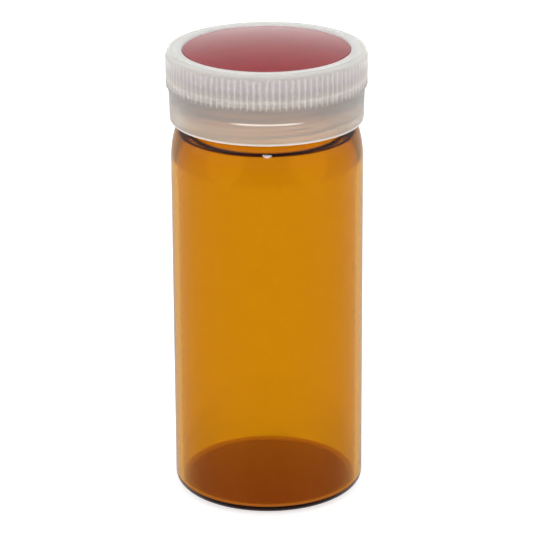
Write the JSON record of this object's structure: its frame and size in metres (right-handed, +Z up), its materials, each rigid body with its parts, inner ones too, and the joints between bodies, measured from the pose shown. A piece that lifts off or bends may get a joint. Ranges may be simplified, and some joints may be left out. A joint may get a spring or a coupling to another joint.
{
  "type": "prescription vial",
  "caption": "Cylindrical amber glass vial with a screw neck, closed by a ribbed translucent screw cap with a domed red top disc and a sealing liner.",
  "frame": {"origin": "middle of the face that the vial stands on", "axes": "+Z up the vial's axis, from the base to the cap; X and Y are equivalent"},
  "size_m": [0.0364, 0.0364, 0.0853],
  "materials": {
    "amber_glass": "clear, smooth, amber",
    "natural_plastic": "translucent, uncoloured, satin",
    "red_plastic": "glossy, opaque",
    "liner_foam": "matte, fine-celled foam"
  },
  "bodies": {
    "vial": {"vial_body": "amber_glass"},
    "liner": {"sealing_liner": "liner_foam"},
    "cap": {"cap_shell": "natural_plastic", "cap_disc": "red_plastic"}
  },
  "joints": [
    {"name": "cap_lift", "type": "slide", "parent": "vial", "child": "liner", "axis": [0, 0, 1], "range_m": [0, 0.014]},
    {"name": "cap_turn", "type": "hinge", "parent": "liner", "child": "cap", "pos_m": [0, 0, 0.0745], "axis": [0, 0, 1], "range_deg": [0, 1440]}
  ],
  "couplings": [
    {"joint": "cap_lift", "follows": "cap_turn", "m_per_rad": 0.00055704}
  ]
}
